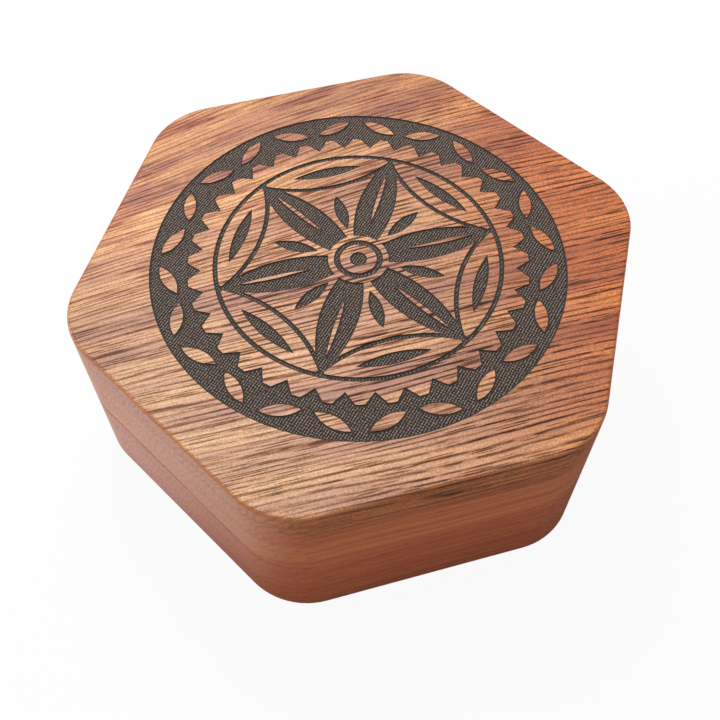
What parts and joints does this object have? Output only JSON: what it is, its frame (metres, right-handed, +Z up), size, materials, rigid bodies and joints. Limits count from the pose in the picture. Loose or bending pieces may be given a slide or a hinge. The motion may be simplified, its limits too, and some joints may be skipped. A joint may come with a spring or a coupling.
{
  "type": "dice chest",
  "caption": "Hexagonal hardwood dice chest with rounded corners: a base with hexagonal felt-lined wells and a magnetic lift-off lid, hollow as a padded tray, engraved on top.",
  "frame": {"origin": "centre of the flat underside of the base", "axes": "+Z up, the way the lid lifts off; the wood's grain and two opposite corners of the hexagon lie along X, and the flats at the front and back face -Y and +Y"},
  "size_m": [0.1008, 0.091, 0.036],
  "materials": {
    "lid_wood": "satin oiled, open-pored",
    "base_wood": "satin oiled, open-pored",
    "felt": "matt wool felt",
    "foam": "matt closed-cell foam",
    "magnet_nickel": "bright nickel plate"
  },
  "bodies": {
    "base": {"base": "base_wood", "base_magnet_1": "magnet_nickel", "base_magnet_2": "magnet_nickel", "base_magnet_3": "magnet_nickel", "base_magnet_4": "magnet_nickel", "base_magnet_5": "magnet_nickel", "base_magnet_6": "magnet_nickel", "well_felt_1": "felt", "well_felt_2": "felt", "well_felt_3": "felt", "well_felt_4": "felt", "well_felt_5": "felt", "well_felt_6": "felt", "well_felt_7": "felt"},
    "lid": {"lid": "lid_wood", "lid_magnet_1": "magnet_nickel", "lid_magnet_2": "magnet_nickel", "lid_magnet_3": "magnet_nickel", "lid_magnet_4": "magnet_nickel", "lid_magnet_5": "magnet_nickel", "lid_magnet_6": "magnet_nickel", "tray_foam": "foam", "tray_felt": "felt"}
  },
  "joints": [
    {"name": "lid_lift", "type": "slide", "parent": "base", "child": "lid", "axis": [0, 0, 1], "range_m": [0, 0.06]}
  ]
}
